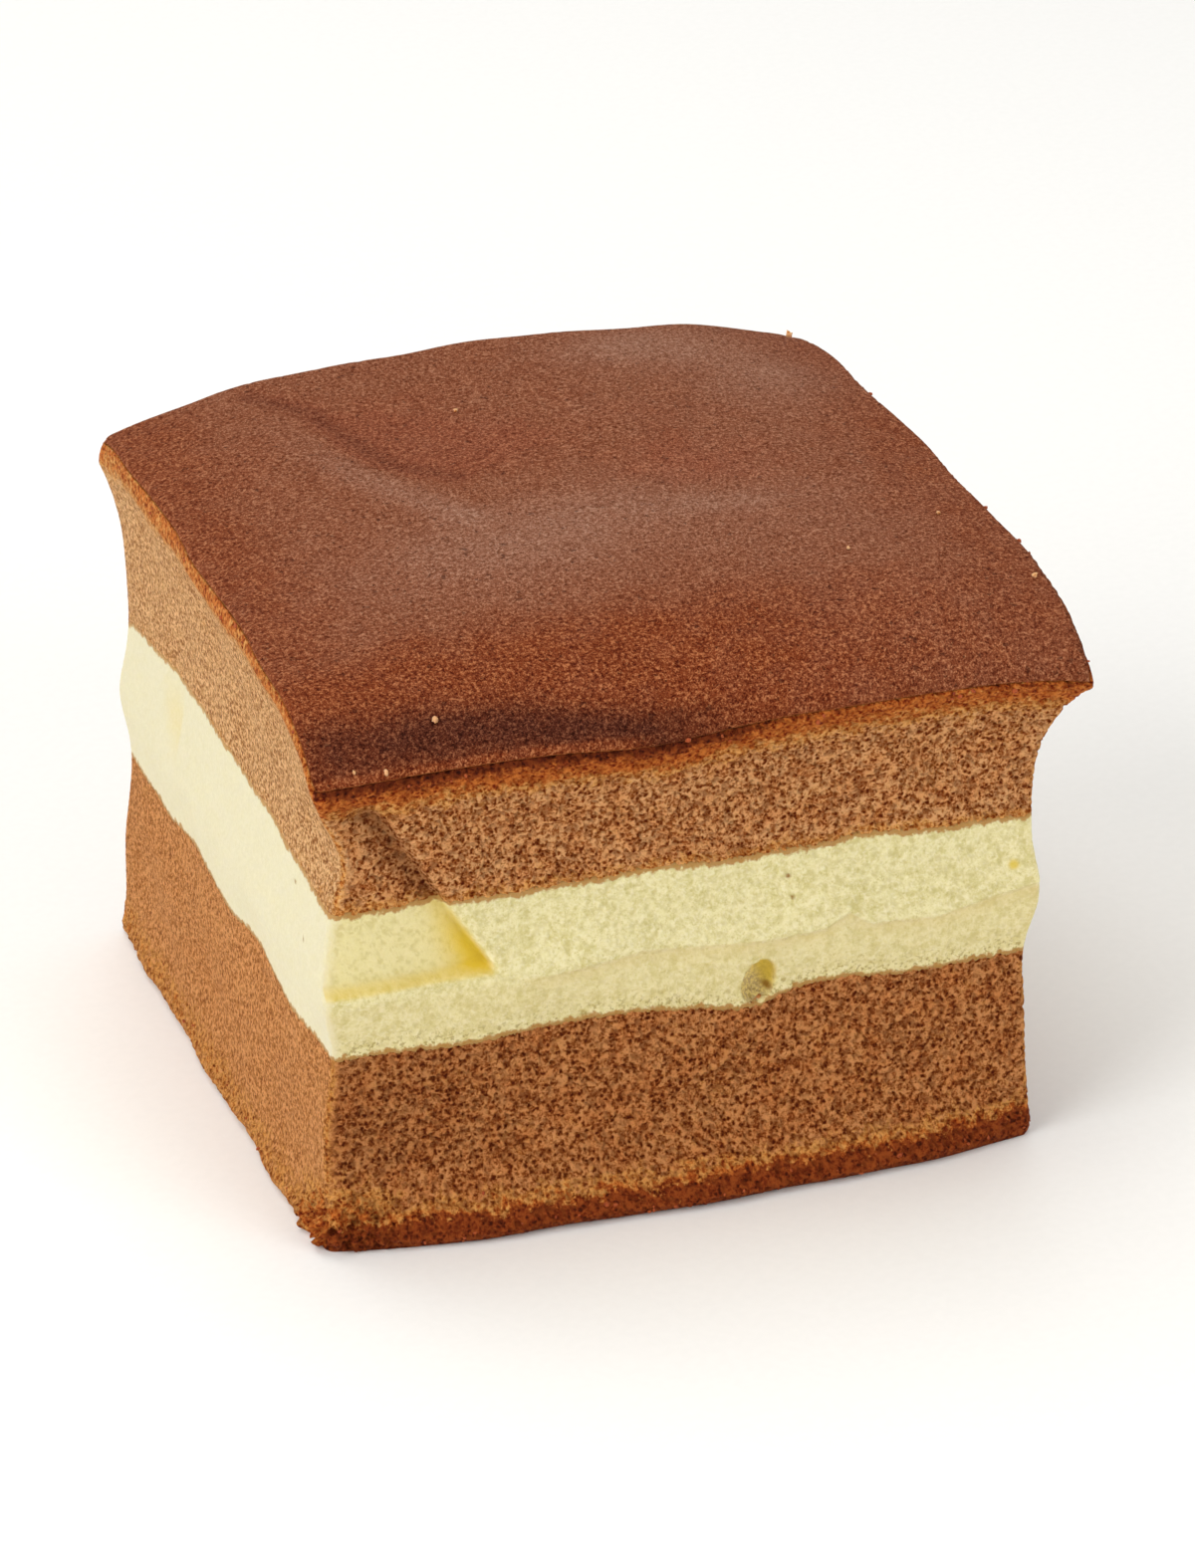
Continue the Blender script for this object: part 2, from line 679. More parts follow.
def along_line(stroke, point):
    """1 on a bent line over the top, fading out over its width and at its ends."""
    here = point.xy
    away = []
    for start, end in zip(stroke.line, stroke.line[1:]):
        start, end = Vector(start), Vector(end)
        share = intersect_point_line(here, start, end)[1]
        away.append((here - start.lerp(end, min(max(share, 0), 1))).length)
    return bell(min(away), 0, stroke.width)


def skin_marks(u, v, point):
    """Where the skin is darker, redder or paler."""
    x, y, _ = point
    from_front = HALF * (1 + v)
    from_rim = HALF * (1 - max(abs(u), -v))
    ragged = patchy(point, 5)
    furrow = along_line(FURROW, point)

    run = smooth(x, -30, 0)
    away = from_front - mix(ROLL_OFF.far, ROLL_OFF.near, run)
    away *= 0.62 if away > 0 else 0.6 * fade(x, -10, 2)
    band = bell(away, 0, mix(ROLL_OFF.wide, ROLL_OFF.slim, run))
    band *= smooth(x, ROLL_OFF.start, ROLL_OFF.start + 8) * fade(x, ROLL_OFF.end - 18, ROLL_OFF.end)
    band *= 1 - 0.2 * smooth(-x, 26, 34) + 0.2 * patchy(point, 1.5)
    lip = bell(from_front, 0, 0.25) * fade(x, -9, -2)

    red = min(zone_sum(RED_ZONES, x, y), 1) + 0.6 * furrow + 0.2 * ragged
    pale = min(zone_sum(PALE_ZONES, x, y), 1) + 0.12 * patchy(point, 3) + 0.12 * smooth(x, 0, 20)
    pale += along_line(RIDGE, point) * mix(0.1, 0.75, smooth(y, 26, 8))
    front = fade(from_front + 2 * ragged, 8, 19) * (1 - 0.4 * smooth(x, 5, 30))
    return {
        "dark": max(band, 0.4 * furrow**2) - lip,
        "rim": max(front, 0.55 * fade(from_rim + 1.5 * ragged, 2, 14)),
        "red": red - pale,
        "pale": pale - 0.6 * furrow,
    }


def skin_relief(point):
    """The fine grain of the skin, with its ridge and the furrow by the dimple's left rim."""
    grain = 0.02 * noise.fractal(point * 1.3, 1, 2, 3)
    pores = smooth(open_pit(point, 2.6), 0.75, 1)
    strokes = sum(stroke.rise * along_line(stroke, point) for stroke in (RIDGE, FURROW))
    return grain - 0.05 * pores + strokes


def nick_depth(u, v):
    """How far a nick cuts into the hanging edge of the skin."""
    side = side_of(u, v)
    along = HALF * along_side(side, u, v)
    nicks = [nick for nick in NICKS if nick.side == side]
    return max((nick.depth * bell(along, nick.along, nick.width) for nick in nicks), default=0)


def edge_proud(u, v):
    """How far the skin's edge stands out from the crumb, which is hardly at all on the left."""
    left = smooth(-u, 0.97, 1) * fade(abs(v), 0.9, 1)
    return SKIN.proud * (1 - 0.8 * left)


def rim_lift(u, v):
    """How much higher the skin stands along the front rim than the sponge's own edge."""
    return SKIN.lift * smooth(u, -0.9, 0.4) * smooth(-v, 0.86, 1)


def rounded_drop(u, v):
    """How far the top has rounded down, this near to the rim."""
    inset = HALF * (1 - max(abs(u), abs(v)))
    if inset >= SKIN.round:
        return 0
    return SKIN.round - math.sqrt(SKIN.round**2 - (SKIN.round - inset) ** 2)


def skin_sheet():
    """A closed thin shell: a fine grid over the top, its hem, and the under side."""
    bm = marked_mesh(SKIN_MARKS)
    hem = bm.verts.layers.float["hem"]
    cells = round(2 * HALF / SKIN.step)
    bmesh.ops.create_grid(bm, x_segments=cells, y_segments=cells, size=1)
    for vert in bm.verts:
        vert.co.x = crowd(vert.co.x)
        vert.co.y = crowd(vert.co.y)
    ring = [edge for edge in bm.edges if edge.is_boundary]
    for depth in range(1, HEM_RINGS + 3):
        verts, made = grow_ring(bm, ring)
        ring = only(bmesh.types.BMEdge, made)
        for vert in verts:
            vert[hem] = depth
    bmesh.ops.pointmerge(bm, verts=verts, merge_co=(0, 0, 0))
    return bm


def hem_point(u, v, ring):
    """A point on one of the rings round the skin: down over the rim, back under it, and inside."""
    top = top_height(u, v)
    foot = place(u, v, top - SKIN.round)
    hang = max(SKIN.hem + SKIN.ragged * patchy(foot, 1.6) - nick_depth(u, v), SKIN.round + 0.1)
    if ring < HEM_RINGS:
        below = mix(SKIN.round, hang, ring / 3)
        return draw_in(place(u, v, top - below), -edge_proud(u, v) * (1 if ring < 3 else 0.6))
    if ring == HEM_RINGS:
        return draw_in(place(u, v, top - hang + 0.1), 0.35)
    return draw_in(place(u, v, top - SKIN.inside), 2.5)


def shape_skin(bm):
    """Lays the sheet over the cake's top and grains it."""
    layers = bm.verts.layers.float
    squares = {}
    for vert in bm.verts:
        u, v = vert.co.xy
        ring = round(vert[layers["hem"]])
        squares[vert] = (u, v, ring)
        if ring == 0:
            drop = rounded_drop(u, v)
            point = place(u, v, top_height(u, v) - drop)
            point.z += rim_lift(u, v)
            vert.co = draw_in(point, -edge_proud(u, v) * smooth(drop, 0, SKIN.round))
        elif ring < HEM_RINGS + 2:
            vert.co = hem_point(u, v, ring)
        else:
            vert.co = Vector((0, 0, top_height(0, 0) - 2 * SKIN.inside))
    bm.normal_update()
    for vert, (u, v, ring) in squares.items():
        if ring > HEM_RINGS:
            continue
        point = vert.co.copy()
        for mark, value in skin_marks(u, v, point).items():
            vert[layers[mark]] = min(max(value, 0), 1)
        vert.co += vert.normal * skin_relief(point)
        vert[layers["hem"]] = ring / HEM_RINGS


# ---- Objects ----


def add_object(name, data):
    item = bpy.data.objects.new(name, data)
    bpy.context.scene.collection.objects.link(item)
    return item


def mesh_object(name, bm, material):
    """An object made from a bmesh, which is freed."""
    mesh = bpy.data.meshes.new(name)
    bm.to_mesh(mesh)
    bm.free()
    mesh.materials.append(material)
    return add_object(name, mesh)


def finish_piece(name, bm, material, node):
    """Turns a bmesh in millimetres into a piece that stands for a solid of the frame."""
    for vert in bm.verts:
        vert.co = (vert.co + FORM_SHIFT) * MM
    bmesh.ops.recalc_face_normals(bm, faces=bm.faces)
    for face in bm.faces:
        face.smooth = True
    piece = mesh_object(name, bm, material)
    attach(piece, "root")
    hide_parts(node)


def crumb_ball(bm, centre, size, rng, rounds):
    """A small angular lump of crumb, with 20 faces after one round and 80 after two."""
    made = bmesh.ops.create_icosphere(bm, subdivisions=rounds, radius=size / 2)["verts"]
    stretch = Vector([rng.uniform(0.5, 1.2) for _ in range(3)])
    seed = Vector([rng.uniform(0, 50) for _ in range(3)])
    for vert in made:
        bump = 1 + 0.8 * noise.noise(vert.co * (2.6 / size) + seed)
        vert.co = vert.co * stretch * bump + centre
    return made


# ---- Colours ----

SURFACES = {  # screen colours of the pits, the middle ground and the lit walls
    "top_torn": ("Upper torn crumb", "5e2000", "a45a24", "ecb076"),
    "top_fine": ("Upper fine crumb", "824a22", "be8248", "f6c68e"),
    "top_golden": ("Upper golden crumb", "823604", "ba6e2a", "ecae62"),
    "base_torn": ("Lower torn crumb", "521a00", "904a18", "d8945a"),
    "base_fine": ("Lower fine crumb", "7e441a", "b87236", "e6a264"),
    "base_golden": ("Lower golden crumb", "6e300a", "b06a2c", "e6a658"),
    "toast": ("Toasted crumb", "721e00", "aa4c16", "d67c34"),
    "crust": ("Crust of the foot and hem", "461805", "7c2e0c", "9e4c1c"),
    "vanilla": ("Torn vanilla crumb", "ac9c54", "e0d6a4", "f0e8c8"),
    "skin": ("Browned top", "5a2812", "844b31", "ae7859"),
    "red": ("Redder zones of the top", "5a2612", "85472f", "b17250"),
    "pale": ("Worn, paler zones of the top", "6c3f2a", "92624b", "b28872"),
    "rim": ("Top near its rim", "4a1204", "7b381a", "b87246"),
    "dark": ("Dark band along the front", "280a02", "4e2214", "7e4a32"),
}
TONES = {"_pit": "pits", "": "middle ground", "_lit": "lit walls"}
TINTS = {
    "cocoa_warmth": ("Tint of the crumb in warmer patches", "f4d8b8"),
    "cocoa_shade": ("Shade inside the hollow", "b09a84"),
    "vanilla_fine": ("Finely cut vanilla crumb", "d2caaa"),
    "vanilla_mottle": ("Soft darker patches of the vanilla", "cabe80"),
    "vanilla_beige": ("Browner crumb under the ledge", "d3be83"),
    "vanilla_gold": ("Yellower crumb by the hollow's wall", "d6b836"),
    "vanilla_stipple": ("Dark dots low on the vanilla", "8a7228"),
    "bubble_lit": ("Lit wall of the air bubble", "dcc67c"),
    "bubble_dark": ("Stipple of the bubble's wall", "b49c6c"),
    "speck": ("Brown crumbs in the vanilla", "845600"),
    "dusting": ("Cocoa crumb clinging by the seams", "a87838"),
    "skin_hem": ("Hanging edge of the skin", "965026"),
    "skin_hole": ("Sparse pinholes of the top", "38120a"),
    "loose_pale": ("Paler side of the fallen crumbs", "e8b07c"),
    "floor": ("Pale floor", "f4f3f0"),
}


def paint(code):
    """A linear colour from six hexadecimal digits of a screen colour."""
    shades = [int(code[start : start + 2], 16) / 255 for start in (0, 2, 4)]
    return tuple(s / 12.92 if s <= 0.04045 else ((s + 0.055) / 1.055) ** 2.4 for s in shades)


def colour_properties():
    """One colour for each tint, and three for each surface."""
    rows = dict(TINTS)
    for name, (label, *codes) in SURFACES.items():
        for (tone, part), code in zip(TONES.items(), codes):
            rows[name + tone] = (f"{label}, {part}", code)
    return {
        name: FloatVectorProperty(
            name=label,
            description=f"Colour: {label.lower()}",
            default=paint(code),
            size=3,
            min=0,
            max=1,
            subtype="COLOR",
        )
        for name, (label, code) in rows.items()
    }


class CakeColours(bpy.types.PropertyGroup):
    __annotations__ = colour_properties()


class CakeSizes(bpy.types.PropertyGroup):
    crumb_depth: FloatProperty(
        name="Crumb depth",
        description="Depth of the torn crumb's open bubbles, 1 being as modelled",
        default=1,
        min=0,
        max=2,
        subtype="FACTOR",
    )
    loose_size: FloatProperty(
        name="Loose crumb size",
        description="What the widths of the fallen crumbs are shares of",
        default=0.0011,
        min=0.0002,
        max=0.003,
        precision=5,
        unit="LENGTH",
        subtype="DISTANCE",
    )
    rim_crumbs: IntProperty(
        name="Crumbs at the edges",
        description="How many small crumbs cling to the hem and to the foot",
        default=110,
        min=0,
        max=1000,
    )


# ---- Materials ----


def feed(tree, socket, value):
    """Links a socket to another one, or sets it to a number or a colour."""
    if isinstance(value, bpy.types.NodeSocket):
        tree.links.new(value, socket)
    elif socket.type == "RGBA":
        socket.default_value = (*value[:3], 1)
    else:
        socket.default_value = value


class Nodes:
    """Adds nodes to a tree. Its methods give back the sockets that carry their results."""

    def __init__(self, tree):
        self.tree = tree
        self.owner = None  # the material
        self.spot = None  # the socket with the place that noise is read at

    def node(self, kind, values, **settings):
        """The outputs of a new node, with its settings, and its inputs fed with values."""
        made = self.tree.nodes.new("ShaderNode" + kind)
        for name, value in settings.items():
            setattr(made, name, value)
        for name, value in values.items():
            feed(self.tree, made.inputs[name], value)
        return made.outputs

    def math(self, operation, first, second, clamp=False):
        return self.node("Math", {0: first, 1: second}, operation=operation, use_clamp=clamp)[0]

    times = functools.partialmethod(math, "MULTIPLY")
    plus = functools.partialmethod(math, "ADD")
    minus = functools.partialmethod(math, "SUBTRACT")
    larger = functools.partialmethod(math, "MAXIMUM")

    def ramp(self, value, low, high, to_low=0, to_high=1):
        """The value spread smoothly from one range to another."""
        values = {"Value": value, "From Min": low, "From Max": high, "To Min": to_low, "To Max": to_high}
        return self.node("MapRange", values, interpolation_type="SMOOTHSTEP")["Result"]

    def blend(self, share, first, second, kind="MIX"):
        """Two colours mixed by a share."""
        return self.node("Mix", {0: share, 6: first, 7: second}, data_type="RGBA", blend_type=kind)[2]

    def mark(self, name):
        """A mark that the mesh carries from point to point."""
        return self.node("Attribute", {}, attribute_name=name)["Fac"]

    def noise(self, scale, detail=2, roughness=0.5):
        values = {"Vector": self.spot, "Scale": scale, "Detail": detail, "Roughness": roughness}
        return self.node("TexNoise", values)["Fac"]

    def grain(self, grains, pit_level, warp=0.0003):
        """The crumb grain with its own fineness."""
        group = bpy.data.node_groups.get("crumb_grain") or crumb_grain_group()
        values = {"Vector": self.spot, "Grains per Metre": grains, "Pit Level": pit_level, "Warp": warp}
        return self.node("Group", values, node_tree=group)

    def tones(self, pits, walls, colours, surface, middle=None):
        """A surface in the tones of its pits, its middle ground and its lit walls."""
        dark, ground, light = (getattr(colours, surface + tone) for tone in TONES)
        tones = (dark, middle or ground, light)
        group = bpy.data.node_groups.get("crumb_tones") or crumb_tones_group()
        values = dict(zip(("Pits", "Walls", "Dark", "Middle", "Light"), (pits, walls, *tones)))
        return self.node("Group", values, node_tree=group)["Colour"]


def start_group(name, inputs, outputs):
    """The nodes, inputs and outputs of a new node group, from its sockets' names and types."""
    tree = bpy.data.node_groups.new(name, "ShaderNodeTree")
    for in_out, sockets in (("INPUT", inputs), ("OUTPUT", outputs)):
        for socket, kind in sockets.items():
            tree.interface.new_socket(name=socket, in_out=in_out, socket_type="NodeSocket" + kind)
    return Nodes(tree), tree.nodes.new("NodeGroupInput").outputs, tree.nodes.new("NodeGroupOutput").inputs


def finish_group(nodes, outlet, **results):
    for name, value in results.items():
        feed(nodes.tree, outlet[name], value)
    return nodes.tree


def crumb_grain_group():
    """Crumb from close by, as a height with masks of its small pits and its lit walls."""
    nodes, inlet, outlet = start_group(
        "crumb_grain",
        {"Vector": "Vector", "Grains per Metre": "Float", "Pit Level": "Float", "Warp": "Float"},
        {"Height": "Float", "Pits": "Float", "Walls": "Float"},
    )
    scale = inlet["Grains per Metre"]
    coarser = nodes.times(scale, 0.45)
    drift = nodes.node("TexNoise", {"Vector": inlet["Vector"], "Scale": coarser, "Detail": 1})["Color"]
    centred = nodes.node("VectorMath", {0: drift, 1: (0.5, 0.5, 0.5)}, operation="SUBTRACT")[0]
    moved = nodes.node("VectorMath", {0: centred, "Scale": inlet["Warp"]}, operation="SCALE")[0]
    nodes.spot = nodes.node("VectorMath", {0: inlet["Vector"], 1: moved}, operation="ADD")[0]
    cells = nodes.node("TexVoronoi", {"Vector": nodes.spot, "Scale": nodes.times(scale, 0.5)})["Distance"]
    height = nodes.times(nodes.noise(scale, 4, 0.85), 0.5)
    height = nodes.plus(height, nodes.times(nodes.ramp(cells, 0.05, 0.6), 0.12))
    height = nodes.plus(height, nodes.times(nodes.noise(coarser, 2, 0.6), 0.38))
    low = inlet["Pit Level"]
    pits = nodes.ramp(height, nodes.minus(low, 0.065), nodes.plus(low, 0.04), 1, 0)
    walls = nodes.ramp(height, nodes.plus(low, 0.01), nodes.plus(low, 0.125))
    return finish_group(nodes, outlet, Height=height, Pits=pits, Walls=walls)


def crumb_tones_group():
    """Crumb in three tones: dark pits, middle ground and lit walls."""
    nodes, inlet, outlet = start_group(
        "crumb_tones",
        {"Pits": "Float", "Walls": "Float", "Dark": "Color", "Middle": "Color", "Light": "Color"},
        {"Colour": "Color"},
    )
    lit = nodes.blend(inlet["Walls"], inlet["Middle"], inlet["Light"])
    return finish_group(nodes, outlet, Colour=nodes.blend(inlet["Pits"], lit, inlet["Dark"]))


def start_material(name):
    """The nodes of a new material, which read noise at a point's place in the cake."""
    material = bpy.data.materials.new(name)
    material.use_nodes = True
    material.node_tree.nodes.clear()
    nodes = Nodes(material.node_tree)
    nodes.owner = material
    nodes.spot = nodes.node("TexCoord", {})["Object"]
    return nodes


def finish_material(nodes, colour, roughness, height, depth, shine, inside=None):
    """The material with its shader. Its height is in units of this depth, in metres.

    inside is the weight, depth and colour spread of light that travels a little way through it."""
    bump = nodes.node("Bump", {"Height": height, "Distance": depth, "Strength": 1})["Normal"]
    values = {"Base Color": colour, "Roughness": roughness, "Normal": bump, "Specular IOR Level": shine}
    if inside:
        values.update(zip(("Subsurface Weight", "Subsurface Scale", "Subsurface Radius"), inside))
    nodes.node("OutputMaterial", {"Surface": nodes.node("BsdfPrincipled", values)["BSDF"]})
    return nodes.owner


def cocoa_material(name, colours, kind, grains):
    """Brown sponge: tan crumb walls, dark pits, toasted bands and a browned foot."""
    nodes = start_material(name)
    coarse = nodes.mark("coarse")
    open_grain = nodes.grain(grains, 0.475)
    fine_grain = nodes.grain(4200, 0.49, 0.0002)
    patches = nodes.noise(260)
    ragged = nodes.noise(1500, 3, 0.7)

    sunk = nodes.times(nodes.mark("pit"), 0.38)
    pits = nodes.larger(open_grain["Pits"], sunk, clamp=True)
    walls = nodes.times(open_grain["Walls"], nodes.minus(1, sunk))
    open_crumb = nodes.tones(pits, walls, colours, kind + "_torn")
    warm = nodes.ramp(nodes.noise(420, 3), 0.4, 0.65, 0, 0.5)
    open_crumb = nodes.blend(warm, open_crumb, colours.cocoa_warmth, "MULTIPLY")
    pores = nodes.larger(fine_grain["Pits"], nodes.ramp(ragged, 0.4, 0.3))
    fine_walls = nodes.larger(fine_grain["Walls"], nodes.ramp(ragged, 0.56, 0.68))
    fine_crumb = nodes.tones(nodes.times(pores, 0.85), fine_walls, colours, kind + "_fine")
    colour = nodes.blend(coarse, fine_crumb, open_crumb)

    toast = nodes.plus(nodes.mark("toast"), nodes.times(ragged, 1.4))
    toast = nodes.plus(toast, nodes.times(patches, 0.3))
    crust = nodes.plus(nodes.mark("crust"), nodes.times(ragged, 2.4))
    for browned, low, high, surface in (
        (toast, 0.9, 1.3, kind + "_golden"),
        (toast, 1.2, 1.55, "toast"),
        (crust, 1.45, 1.85, "crust"),
    ):
        crumb = nodes.tones(pits, walls, colours, surface)
        colour = nodes.blend(nodes.ramp(browned, low, high), colour, crumb)
    colour = nodes.blend(nodes.mark("shade"), colour, colours.cocoa_shade, "MULTIPLY")

    roughness = nodes.ramp(open_grain["Height"], 0.3, 0.6, 0.95, 0.75)
    height = nodes.blend(coarse, fine_grain["Height"], open_grain["Height"])
    return finish_material(nodes, colour, roughness, height, 0.0007, 0.1, (0.1, 0.0004, (1, 0.45, 0.2)))


def vanilla_material(colours):
    """Pale sponge: fine pores, soft olive and beige mottling, and a yellower hollow and bubble."""
    nodes = start_material("vanilla_crumb")
    coarse = nodes.mark("coarse")
    grain = nodes.noise(2000, 3, 0.85)
    patches = nodes.noise(800, 3)
    stipple = nodes.noise(2600, 3, 0.7)
    dots = nodes.ramp(nodes.noise(2400, 2, 0.6), 0.52, 0.64)

    torn = nodes.minus(coarse, nodes.times(nodes.mark("even"), 0.9), clamp=True)
    mottle = nodes.times(nodes.ramp(patches, 0.42, 0.66), nodes.ramp(torn, 0, 1, 0.1, 0.7))
    mottled = nodes.blend(coarse, colours.vanilla_fine, colours.vanilla)
    mottled = nodes.blend(mottle, mottled, colours.vanilla_mottle)
    pores = nodes.times(nodes.ramp(grain, 0.47, 0.32), nodes.ramp(torn, 0, 1, 0.06, 0.5))
    pits = nodes.larger(nodes.times(nodes.mark("pit"), 0.35), pores)
    walls = nodes.times(nodes.ramp(grain, 0.48, 0.64), nodes.ramp(torn, 0, 1, 0.12, 0.4))
    colour = nodes.tones(pits, walls, colours, "vanilla", mottled)

    bubble_wall = nodes.blend(nodes.ramp(stipple, 0.42, 0.6), colours.bubble_dark, colours.bubble_lit)
    dots = nodes.times(nodes.times(dots, nodes.mark("stipple")), 0.7)
    dusted = nodes.plus(nodes.mark("dusting"), nodes.times(stipple, 1.2))
    for share, tint in (
        (nodes.mark("beige"), colours.vanilla_beige),
        (nodes.mark("bubble"), bubble_wall),
        (nodes.mark("gold"), colours.vanilla_gold),
        (dots, colours.vanilla_stipple),
        (nodes.ramp(dusted, 0.9, 1.4, 0, 0.9), colours.dusting),
        (nodes.mark("speck"), colours.speck),
    ):
        colour = nodes.blend(share, colour, tint)
    roughness = nodes.ramp(grain, 0.3, 0.6, 0.9, 0.7)
    return finish_material(nodes, colour, roughness, grain, 0.00012, 0.25, (0.4, 0.0012, (1, 0.8, 0.35)))


def skin_material(colours):
    """The browned top: a red-brown skin of fine lighter grains, with dark pinholes."""
    nodes = start_material("browned_skin")
    grain = nodes.noise(2500, 2, 1)
    pinholes = nodes.ramp(nodes.noise(1300, 2), 0.26, 0.34, 1, 0)
    patches = nodes.noise(160, 4)
    pits = nodes.ramp(grain, 0.5, 0.33)
    walls = nodes.ramp(grain, 0.5, 0.67)
    rim = nodes.ramp(nodes.plus(nodes.mark("rim"), nodes.times(patches, 0.4)), 0.1, 1.15)
    red = nodes.ramp(nodes.plus(nodes.mark("red"), nodes.times(patches, 0.5)), 0.2, 1.1)

    hem = nodes.ramp(nodes.mark("hem"), 0.1, 0.8)
    colour = nodes.tones(pits, walls, colours, "skin")
    for share, tint in (
        (red, nodes.tones(pits, walls, colours, "red")),
        (rim, nodes.tones(pits, walls, colours, "rim")),
        (nodes.mark("pale"), nodes.tones(pits, walls, colours, "pale")),
        (hem, colours.skin_hem),
        (nodes.mark("dark"), nodes.tones(pits, walls, colours, "dark")),
        (nodes.times(pinholes, 0.55), colours.skin_hole),
    ):
        colour = nodes.blend(share, colour, tint)
    roughness = nodes.ramp(grain, 0.35, 0.65, 0.85, 0.6)
    height = nodes.minus(grain, nodes.times(pinholes, 0.4))
    return finish_material(nodes, colour, roughness, height, 0.0004, 0.06, (0.05, 0.0004, (1, 0.4, 0.2)))


def loose_crumb_material(colours):
    """Fallen crumbs: the toasted colour with its own grain."""
    nodes = start_material("loose_crumb")
    grain = nodes.grain(3600, 0.42)
    fallen = nodes.blend(grain["Walls"], colours.top_golden, colours.loose_pale)
    clinging = nodes.blend(grain["Walls"], colours.crust, colours.toast)
    colour = nodes.blend(nodes.mark("bright"), clinging, fallen)
    roughness = nodes.ramp(grain["Height"], 0.3, 0.6, 0.95, 0.75)
    inside = (0.3, 0.0005, (1, 0.5, 0.25))
    return finish_material(nodes, colour, roughness, grain["Height"], 0.0003, 0.5, inside)


def floor_material(colours):
    """A matt pale sheet of board with a faint tooth."""
    nodes = start_material("pale_board")
    tooth = nodes.noise(900, 3)
    dimmed = [channel * 0.985 for channel in colours.floor]
    colour = nodes.blend(nodes.ramp(tooth, 0.3, 0.7), dimmed, colours.floor)
    return finish_material(nodes, colour, 0.9, tooth, 0.00002, 0.1)


# ---- Operators ----


class CAKE_OT_base_sponge(bpy.types.Operator):
    """Build the lower cocoa sponge with its browned foot"""

    bl_idname = "cake.base_sponge"
    bl_label = "Lower Cocoa Sponge"

    def execute(self, context):
        bm = sponge_block("base", LOWER_SEAM, COCOA_MARKS)
        shape_sponge(bm, "base", None, lower_seam_height, base_marks)
        material = cocoa_material("cocoa_base", context.scene.cake_colours, "base", 3300)
        finish_piece("cocoa_base_crumb", bm, material, "cocoa_base_layer")
        return {"FINISHED"}


class CAKE_OT_middle_sponge(bpy.types.Operator):
    """Build the vanilla sponge with its hollow, ledge and air bubble"""

    bl_idname = "cake.middle_sponge"
    bl_label = "Vanilla Sponge"

    def execute(self, context):
        bm = sponge_block("middle", UPPER_SEAM - LOWER_SEAM, MIDDLE_MARKS)
        shape_sponge(bm, "middle", lower_seam_height, upper_seam_height, middle_marks)
        material = vanilla_material(context.scene.cake_colours)
        finish_piece("vanilla_middle_crumb", bm, material, "vanilla_middle_layer")
        return {"FINISHED"}


class CAKE_OT_top_sponge(bpy.types.Operator):
    """Build the upper cocoa sponge with its toasted band"""

    bl_idname = "cake.top_sponge"
    bl_label = "Upper Cocoa Sponge"

    def execute(self, context):
        bm = sponge_block("top", between_corners("front", 0, "dome") - UPPER_SEAM, COCOA_MARKS)
        shape_sponge(bm, "top", upper_seam_height, None, top_marks)
        material = cocoa_material("cocoa_top", context.scene.cake_colours, "top", 3700)
        finish_piece("cocoa_top_crumb", bm, material, "cocoa_top_layer")
        return {"FINISHED"}


class CAKE_OT_browned_skin(bpy.types.Operator):
    """Build the browned skin of the top with its hanging hem"""

    bl_idname = "cake.browned_skin"
    bl_label = "Browned Skin"

    def execute(self, context):
        bm = skin_sheet()
        shape_skin(bm)
        material = skin_material(context.scene.cake_colours)
        finish_piece("browned_top_skin", bm, material, "cocoa_top_layer")
        return {"FINISHED"}


FALLEN = (  # sizes are shares of the loose crumb size
    Fallen(-24.8, -34, 0.62),
    Fallen(-30.6, -37.4, 0.6),
    Fallen(-33.6, -37, 0.45),
    Fallen(-4.5, 22.3, 0.45),
    Fallen(21.1, -19.4, 0.5),
    Fallen(32.3, -14, 0.45),
    Fallen(36.4, -27.5, 0.45),
    Fallen(36.6, 36.6, 0.9),
)


class CAKE_OT_loose_crumbs(bpy.types.Operator):
    """Scatter the loose crumbs on the top, along the hem and at the foot"""

    bl_idname = "cake.loose_crumbs"
    bl_label = "Loose Crumbs"

    def execute(self, context):
        sizes = context.scene.cake_sizes
        largest = sizes.loose_size / MM
        rng = random.Random(11)
        bm = marked_mesh(("bright",))
        bright = bm.verts.layers.float["bright"]
        for crumb in FALLEN:
            u, v = crumb.x / HALF, crumb.y / HALF
            size = crumb.size * largest
            centre = place(u, v, top_height(u, v)) + Vector((0, 0, 0.3 * size))
            for vert in crumb_ball(bm, centre, size, rng, 2):
                vert[bright] = 1
        for _ in range(sizes.rim_crumbs):
            side = PLACES[rng.choice(("front", "front", "right", "left", "back"))]
            s = rng.uniform(-1, 1)
            u, v = (s, side.sign) if side.axis == 1 else (side.sign, s)
            if rng.random() < 0.45:
                z = top_height(u, v) - rng.uniform(0.4, 1.8)
            else:
                z = abs(rng.gauss(0, 1.6)) + 0.4
            size = largest * rng.uniform(0.25, 0.6)
            crumb_ball(bm, place(u, v, z), size, rng, 1)
        material = loose_crumb_material(context.scene.cake_colours)
        finish_piece("loose_crumbs", bm, material, "cocoa_top_layer")
        return {"FINISHED"}


# ---- The studio, in metres ----

